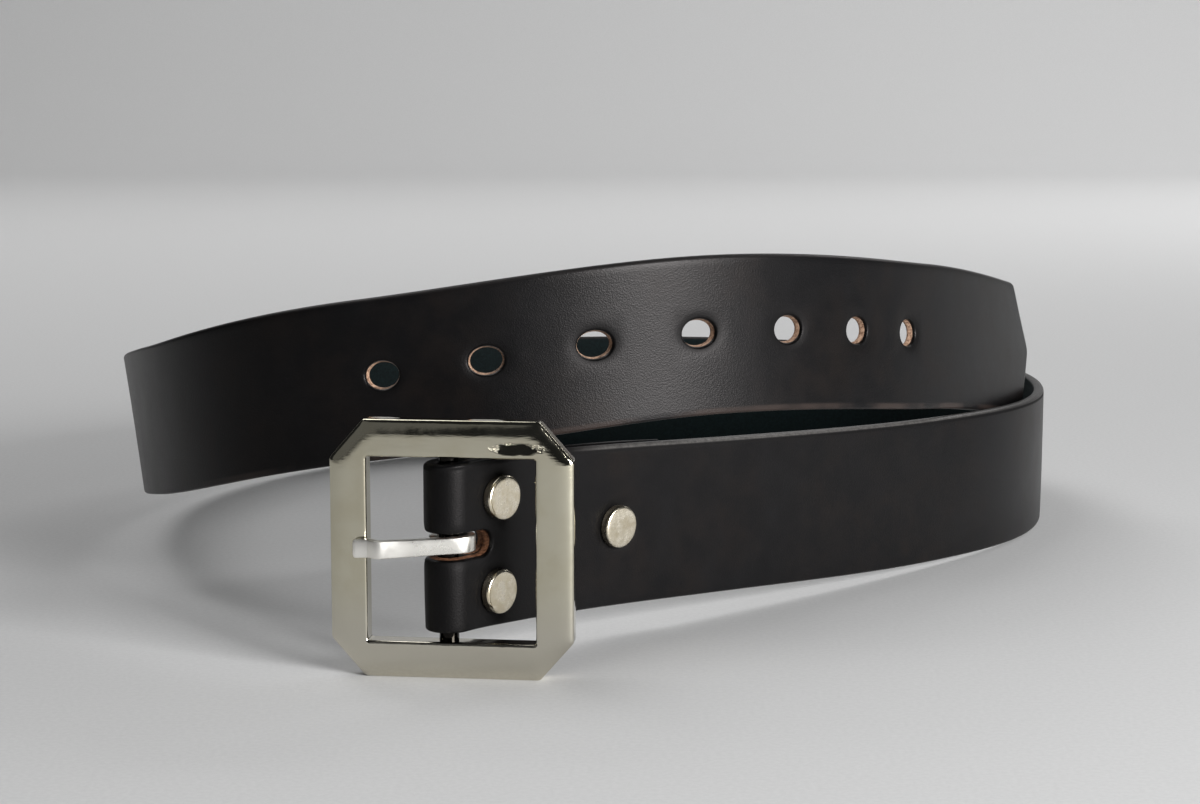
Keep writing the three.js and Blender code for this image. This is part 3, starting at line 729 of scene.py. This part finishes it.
to_tip = np.clip((length[-1] - length) / 0.9, 0, 1)[:, None]
to_eye = np.clip(length / 0.5, 0, 1)[:, None]
end_round = np.sqrt(1 - (1 - to_tip) ** 2) * 0.5 + 0.5
growth = np.clip((length[:, None] - 22) / 18, 0, 1)
tall = (PRONG_TALL + (PRONG_TALL_TIP - PRONG_TALL) * growth) / 2 * (0.72 + 0.28 * np.sqrt(
    1 - (1 - to_tip) ** 2)) * (0.85 + 0.15 * to_eye)
thick = PRONG_THICK / 2 * end_round * (0.8 + 0.2 * to_eye)
side, rise = prong_section(thick, tall, PRONG_EDGE)
across = way[:, :1] - ahead[:, 1:] * side
out = -(way[:, 1:] + ahead[:, :1] * side)
up = PRONG_MIDDLE + rise + PRONG_DROOP * way[:, :1]
prong_points = buckle_point(across, out, up)
ends = np.arange(PRONG_ROUND)
last = (len(length) - 1) * PRONG_ROUND
middle = len(length) * PRONG_ROUND
prong_faces = np.concatenate([
    grid_faces(len(length), PRONG_ROUND),
    np.stack([0 * ends + middle, np.roll(ends, -1), ends, 0 * ends + middle], -1),
    np.stack([0 * ends + middle + 1, last + ends, last + np.roll(ends, -1),
              0 * ends + middle + 1], -1)])
steel, shader, place, relief, tone = plating(
    "plated prong steel", (0.92, 0.90, 0.84), (0.97, 0.95, 0.90), 0.27, 0.30)
feed(shader, Normal=relief, Base_Color=tone)
make_piece("buckle_prong", np.concatenate([prong_points.reshape(-1, 3),
                                           prong_points[[0, -1]].mean(1)]),
           prong_faces, "prong", "prong", steel)

# ---- Cap rivets --------------------------------------------------------------------------------
# Two pressed halves of nickel-plated steel each: a flat cap on the grain side with a crisp rim,
# pressed into the leather, and a small burr behind the turned-back layer.
CAP_TOP = 1.88
profile_front = [
    (CAP_TOP, 0.0), (CAP_TOP - 0.01, 1.2), (CAP_TOP - 0.03, 2.6), (CAP_TOP - 0.06, 3.7),
    (CAP_TOP - 0.09, 4.3), (CAP_TOP - 0.13, 4.5), (CAP_TOP - 0.20, 4.68), (CAP_TOP - 0.32, 4.83),
    (CAP_TOP - 0.48, 4.92), (CAP_TOP - 0.70, 4.97), (0.7, 5.0), (0.0, 5.0), (-0.25, 4.92),
    (-0.3, 4.6), (-0.3, 1.8)]
capped, shader, place = new_material("rivet cap nickel", Metallic=1.0)
cloud = place.noise(2.4, 5.0, 0.65)
scuff = place.noise(0.45, 4.0, 0.65)
feed(shader, Base_Color=cloud.rise(0.35, 0.65).mix((0.72, 0.635, 0.47), (0.91, 0.84, 0.69)),
     Roughness=0.17 + cloud.rise(0.35, 0.7) * 0.12 + scuff.rise(0.5, 0.75) * 0.08,
     Normal=place.bump(scuff, 0.12, 0.015, place.bump(cloud, 0.35, 0.06)))
for name, (station, lift) in RIVETS.items():
    deep = strap_middle(np.array([-station - BEHIND]))[3][0] + THICKNESS + LAYER_GAP
    profile = np.array(profile_front + [
        (-deep - 0.3, 1.8), (-deep - 0.3, 2.55), (-deep - 0.45, 2.7), (-deep - 0.75, 2.6),
        (-deep - 1.0, 2.2), (-deep - 1.15, 1.4), (-deep - 1.2, 0.0)])
    to_side, to_up, to_front = turned(profile, 56)
    points = lay(station + to_side, WIDTH / 2 + lift + to_up, -to_front)
    make_piece("cap_" + name, points.reshape(-1, 3), grid_faces(len(profile), 56), "strap",
               name, capped)

# ---- Floor, lights and camera ------------------------------------------------------------------
# A pale sweep of paper that rises behind the belt, lit by large soft lights, with the camera at
# the photograph's height looking a little down.
SWEEP_FROM = 1900.0
SWEEP_RADIUS = 900.0


def sweep_sheet():
    """The sweep: level in front, turned up through a wide quarter circle, then upright."""
    turn = np.radians(np.linspace(0, 90, 60))
    y = np.concatenate([[-4500], SWEEP_FROM + SWEEP_RADIUS * np.sin(turn)])
    y = np.append(y, y[-1])
    z = np.concatenate([[0], SWEEP_RADIUS * (1 - np.cos(turn)), [3500]])
    x = np.array([-4500, 4500])
    return np.stack([x[None] + 0 * y[:, None], y[:, None] + 0 * x, z[:, None] + 0 * x], -1)


paper, shader, place = new_material("pale paper", Roughness=0.8, Specular_IOR_Level=0.3)
pulp = place.noise(1.2, 4.0, 0.6)
feed(shader, Base_Color=pulp.rise(0.25, 0.75).mix((0.60, 0.60, 0.60), (0.645, 0.645, 0.645)),
     Normal=place.bump(pulp, 0.25, 0.08))
points = sweep_sheet()
mesh = bpy.data.meshes.new("sweep")
mesh.from_pydata((points.reshape(-1, 3) / 1000).tolist(), [],
                 grid_faces(len(points), 2, 0, False, False).tolist())
mesh.polygons.foreach_set("use_smooth", np.ones(len(mesh.polygons), bool))
mesh.materials.append(paper)
sweep = bpy.data.objects.new("sweep", mesh)
bpy.context.scene.collection.objects.link(sweep)

LIGHTS = [
    # name, place, aimed at, width, height, watts
    ("key_softbox", (0.80, -0.90, 0.32), (0.0, 0.0, 0.05), 0.52, 0.44, 24.5),
    ("top_softbox", (-0.60, 0.30, 1.40), (0.0, 0.0, 0.0), 0.9, 0.9, 7.4),
    ("sweep_middle", (0.50, 1.50, 1.30), (0.4, 2.0, 0.0), 1.0, 0.8, 3.9),
    ("sweep_right", (1.10, 1.20, 1.10), (0.9, 1.7, 0.0), 0.8, 0.8, 14.1),
    ("sweep_left", (-0.80, 1.40, 1.30), (-0.5, 2.0, 0.0), 0.8, 0.8, 6.4),
    ("rear_softbox", (-0.30, 1.20, 0.85), (0.0, 0.1, 0.05), 1.1, 0.8, 0.8),
    ("dim_panel", (-0.75, -1.00, 0.46), (-0.05, -0.16, 0.06), 0.94, 0.9, 0.32),
]
for name, spot, aim, width, height, watts in LIGHTS:
    lamp = bpy.data.lights.new(name, "AREA")
    lamp.shape, lamp.size, lamp.size_y, lamp.energy = "RECTANGLE", width, height, watts
    holder = bpy.data.objects.new(name, lamp)
    holder.location = spot
    toward = np.array(aim) - np.array(spot)
    holder.rotation_euler = (math.atan2(math.hypot(toward[0], toward[1]), -toward[2]), 0,
                             math.atan2(toward[1], toward[0]) - math.pi / 2)
    holder.visible_camera = False
    bpy.context.scene.collection.objects.link(holder)

world = bpy.data.worlds.new("studio")
world.use_nodes = True
background = next(node for node in world.node_tree.nodes if node.type == "BACKGROUND")
background.inputs["Color"].default_value = (0.9, 0.95, 1.0, 1)
background.inputs["Strength"].default_value = 0.02
bpy.context.scene.world = world
bpy.context.scene.view_settings.view_transform = "Standard"

lens = bpy.data.cameras.new("camera")
lens.lens, lens.sensor_width, lens.sensor_fit = 78.0, 36.0, "HORIZONTAL"
lens.clip_start = 0.05
camera = bpy.data.objects.new("camera", lens)
camera.location = (0.0013, -0.7180, 0.1400)
camera.rotation_euler = (math.radians(90 - 8.04), 0, 0)
bpy.context.scene.collection.objects.link(camera)
bpy.context.scene.camera = camera
